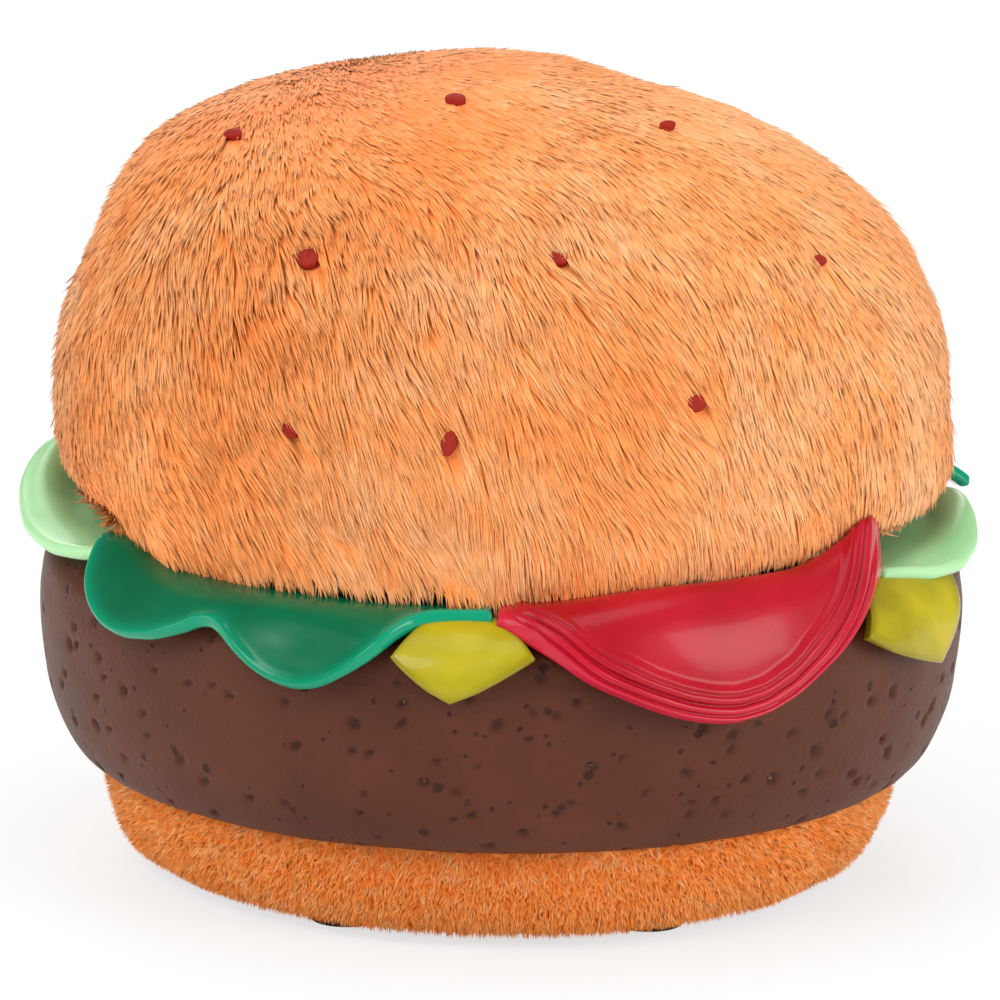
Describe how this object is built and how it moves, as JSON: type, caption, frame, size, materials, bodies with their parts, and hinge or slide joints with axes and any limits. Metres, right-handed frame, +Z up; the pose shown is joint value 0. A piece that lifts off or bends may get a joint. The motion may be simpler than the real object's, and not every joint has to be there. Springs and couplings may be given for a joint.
{
  "type": "novelty telephone",
  "caption": "Clamshell desk telephone shaped like a plush hamburger: lid with receiver, base with keypad, microphone, ringer and line jack, draped slices round the rim",
  "frame": {"origin": "On the table, under the middle of the round body (the centre of the circle of feet).", "axes": "+Z up, front towards -Y, hinge at +Y, +X to the right as seen from the front."},
  "size_m": [0.1285, 0.1311, 0.1086],
  "materials": {
    "long_plush": "orange faux fur, 8 mm pile combed outwards",
    "short_plush": "orange velboa, 2 mm pile",
    "orange_plastic": "moulded ABS, fine texture",
    "brown_plastic": "moulded ABS, matte, pitted like minced meat",
    "cheese_vinyl": "soft vinyl, satin",
    "green_vinyl": "soft vinyl, satin gloss",
    "red_vinyl": "soft vinyl, glossy",
    "pale_green_vinyl": "soft vinyl, satin",
    "deck_plastic": "moulded ABS, cream, fine texture",
    "key_plastic": "moulded ABS keys, brown",
    "black_plastic": "moulded, black",
    "black_rubber": "moulded rubber",
    "silicone": "moulded silicone, grey",
    "circuit_board": "glass-epoxy board",
    "steel": "plated steel",
    "gold_contact": "gold-plated brass",
    "seed_thread": "dark red embroidery thread"
  },
  "bodies": {
    "base": {"bottom_bun_cover": "short_plush", "base_shell": "orange_plastic", "rubber_feet": "black_rubber", "patty_shell": "brown_plastic", "hinge_pin": "steel", "cheese_slice": "cheese_vinyl", "lettuce_front": "green_vinyl", "tomato_slice": "red_vinyl", "pale_leaf_left": "pale_green_vinyl", "pale_leaf_right": "pale_green_vinyl", "lettuce_rear_right": "green_vinyl", "lettuce_rear_left": "green_vinyl", "keypad_deck": "deck_plastic", "keypad_board": "circuit_board", "keypad_mat": "silicone", "microphone": "steel", "microphone_boot": "black_rubber", "hook_switch": "black_plastic", "main_board": "circuit_board", "board_components": "black_plastic", "line_jack": "black_plastic", "jack_contacts": "gold_contact", "ringer_housing": "black_plastic", "ringer_disc": "gold_contact", "ballast_plate": "steel", "ringer_switch_body": "black_plastic", "tone_switch_body": "black_plastic", "base_screws": "steel", "deck_screws": "steel", "board_screws": "steel", "keypad_screws": "steel"},
    "lid": {"top_bun_cover": "long_plush", "lid_shell": "orange_plastic", "lid_plate": "deck_plastic", "receiver_gasket": "black_rubber", "receiver_capsule": "steel", "receiver_retainer": "steel", "sesame_seeds": "seed_thread", "lid_screws": "steel", "retainer_screws": "steel"},
    "hook_plunger": {"hook_plunger": "black_plastic"},
    "ringer_switch_knob": {"ringer_switch_knob": "black_plastic"},
    "tone_switch_knob": {"tone_switch_knob": "black_plastic"},
    "key_1": {"key_1": "key_plastic"},
    "key_2": {"key_2": "key_plastic"},
    "key_3": {"key_3": "key_plastic"},
    "key_4": {"key_4": "key_plastic"},
    "key_5": {"key_5": "key_plastic"},
    "key_6": {"key_6": "key_plastic"},
    "key_7": {"key_7": "key_plastic"},
    "key_8": {"key_8": "key_plastic"},
    "key_9": {"key_9": "key_plastic"},
    "key_star": {"key_star": "key_plastic"},
    "key_0": {"key_0": "key_plastic"},
    "key_hash": {"key_hash": "key_plastic"},
    "key_redial": {"key_redial": "key_plastic"},
    "key_flash": {"key_flash": "key_plastic"}
  },
  "joints": [
    {"name": "lid_hinge", "type": "hinge", "parent": "base", "child": "lid", "pos_m": [0, 0.061, 0.0515], "axis": [-1, 0, 0], "range_deg": [0, 130]},
    {"name": "key_1_press", "type": "slide", "parent": "base", "child": "key_1", "axis": [0, 0, -1], "range_m": [0, 0.0012], "stiffness_N_per_m": 400, "deforming": ["keypad_mat"]},
    {"name": "key_2_press", "type": "slide", "parent": "base", "child": "key_2", "axis": [0, 0, -1], "range_m": [0, 0.0012], "stiffness_N_per_m": 400, "deforming": ["keypad_mat"]},
    {"name": "key_3_press", "type": "slide", "parent": "base", "child": "key_3", "axis": [0, 0, -1], "range_m": [0, 0.0012], "stiffness_N_per_m": 400, "deforming": ["keypad_mat"]},
    {"name": "key_4_press", "type": "slide", "parent": "base", "child": "key_4", "axis": [0, 0, -1], "range_m": [0, 0.0012], "stiffness_N_per_m": 400, "deforming": ["keypad_mat"]},
    {"name": "key_5_press", "type": "slide", "parent": "base", "child": "key_5", "axis": [0, 0, -1], "range_m": [0, 0.0012], "stiffness_N_per_m": 400, "deforming": ["keypad_mat"]},
    {"name": "key_6_press", "type": "slide", "parent": "base", "child": "key_6", "axis": [0, 0, -1], "range_m": [0, 0.0012], "stiffness_N_per_m": 400, "deforming": ["keypad_mat"]},
    {"name": "key_7_press", "type": "slide", "parent": "base", "child": "key_7", "axis": [0, 0, -1], "range_m": [0, 0.0012], "stiffness_N_per_m": 400, "deforming": ["keypad_mat"]},
    {"name": "key_8_press", "type": "slide", "parent": "base", "child": "key_8", "axis": [0, 0, -1], "range_m": [0, 0.0012], "stiffness_N_per_m": 400, "deforming": ["keypad_mat"]},
    {"name": "key_9_press", "type": "slide", "parent": "base", "child": "key_9", "axis": [0, 0, -1], "range_m": [0, 0.0012], "stiffness_N_per_m": 400, "deforming": ["keypad_mat"]},
    {"name": "key_star_press", "type": "slide", "parent": "base", "child": "key_star", "axis": [0, 0, -1], "range_m": [0, 0.0012], "stiffness_N_per_m": 400, "deforming": ["keypad_mat"]},
    {"name": "key_0_press", "type": "slide", "parent": "base", "child": "key_0", "axis": [0, 0, -1], "range_m": [0, 0.0012], "stiffness_N_per_m": 400, "deforming": ["keypad_mat"]},
    {"name": "key_hash_press", "type": "slide", "parent": "base", "child": "key_hash", "axis": [0, 0, -1], "range_m": [0, 0.0012], "stiffness_N_per_m": 400, "deforming": ["keypad_mat"]},
    {"name": "key_redial_press", "type": "slide", "parent": "base", "child": "key_redial", "axis": [0, 0, -1], "range_m": [0, 0.0012], "stiffness_N_per_m": 400, "deforming": ["keypad_mat"]},
    {"name": "key_flash_press", "type": "slide", "parent": "base", "child": "key_flash", "axis": [0, 0, -1], "range_m": [0, 0.0012], "stiffness_N_per_m": 400, "deforming": ["keypad_mat"]},
    {"name": "hook_release", "type": "slide", "parent": "base", "child": "hook_plunger", "axis": [0, 0, 1], "range_m": [0, 0.0028]},
    {"name": "ringer_switch_slide", "type": "slide", "parent": "base", "child": "ringer_switch_knob", "axis": [0, 1, 0], "range_m": [-0.002, 0.002]},
    {"name": "tone_switch_slide", "type": "slide", "parent": "base", "child": "tone_switch_knob", "axis": [0, 1, 0], "range_m": [-0.002, 0.002]}
  ],
  "couplings": [
    {"joint": "hook_release", "follows": "lid_hinge", "m_per_rad": 0.0012}
  ]
}
